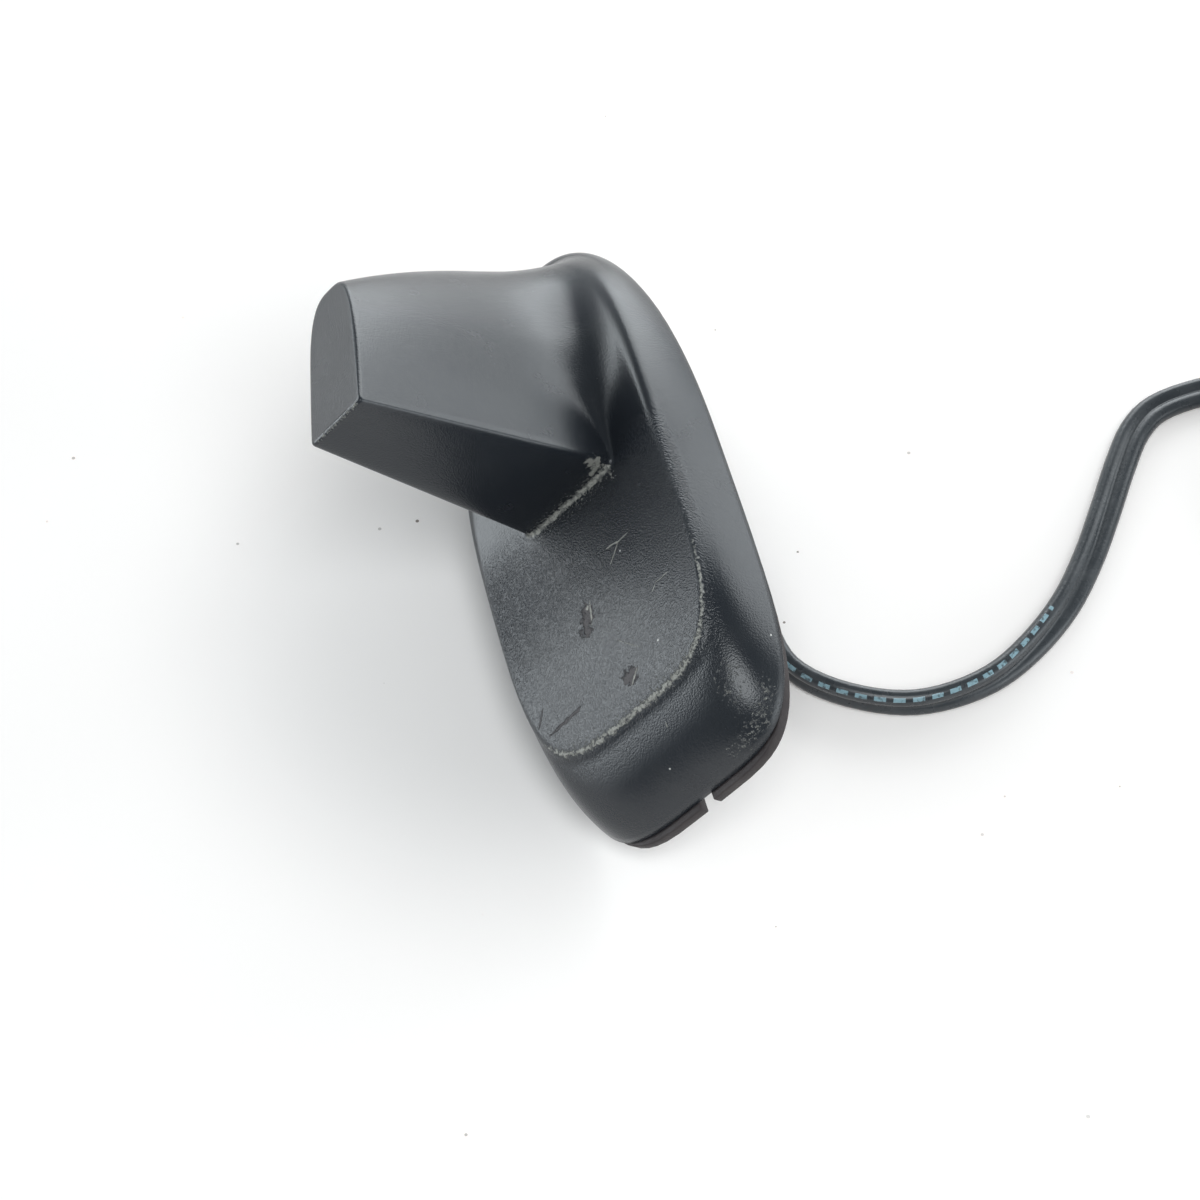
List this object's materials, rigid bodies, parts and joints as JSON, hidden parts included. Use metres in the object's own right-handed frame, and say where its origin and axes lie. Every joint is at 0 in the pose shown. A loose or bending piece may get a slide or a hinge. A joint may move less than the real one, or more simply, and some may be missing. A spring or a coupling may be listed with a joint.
{
  "type": "roof antenna",
  "caption": "Low vehicle roof antenna: black moulded cover with an upright blade, rubber gasket, hollow threaded stud, and a flat twin coax lead with a coil and two plugs.",
  "frame": {"origin": "centre of the threaded stud in the plane of the roof, at the gasket's underside", "axes": "+Z out of the roof, along the stud's axis; -Y to the front, where the blade leans back from; X across, symmetric about X=0"},
  "size_m": [0.1457, 0.1683, 0.2119],
  "materials": {
    "cover": "satin fine grain, worn",
    "seal": "matte",
    "foot": "die cast",
    "board": "solder mask",
    "tinned": "tinned",
    "ceramic": "unglazed",
    "chip": "moulded",
    "contact": "plated",
    "foam": "open cell",
    "screw": "zinc plated",
    "lead": "satin jacket",
    "sleeve": "shrunk tube",
    "plug": "moulded"
  },
  "bodies": {
    "root": {"cover": "cover", "seal_gasket": "seal", "base_plate": "foot", "stud_seal": "seal", "main_board": "board", "shield_can": "tinned", "gps_patch": "ceramic", "patch_electrode": "tinned", "patch_feed_pin": "contact", "amplifier_chips": "chip", "blade_board": "board", "blade_element": "contact", "contact_pin": "contact", "blade_foam": "foam", "board_screws": "screw", "cover_screws": "screw", "coax_ferrules": "contact", "inner_leads": "lead", "stud_grommet": "seal", "twin_lead": "lead", "lead_coil": "lead", "coil_tie": "plug", "lead_end": "lead", "split_sleeve": "sleeve", "lead_leg_a": "lead", "lead_leg_b": "lead", "connector_a": "plug", "connector_b": "plug", "connector_a_contact": "contact", "connector_b_contact": "contact"}
  },
  "joints": []
}
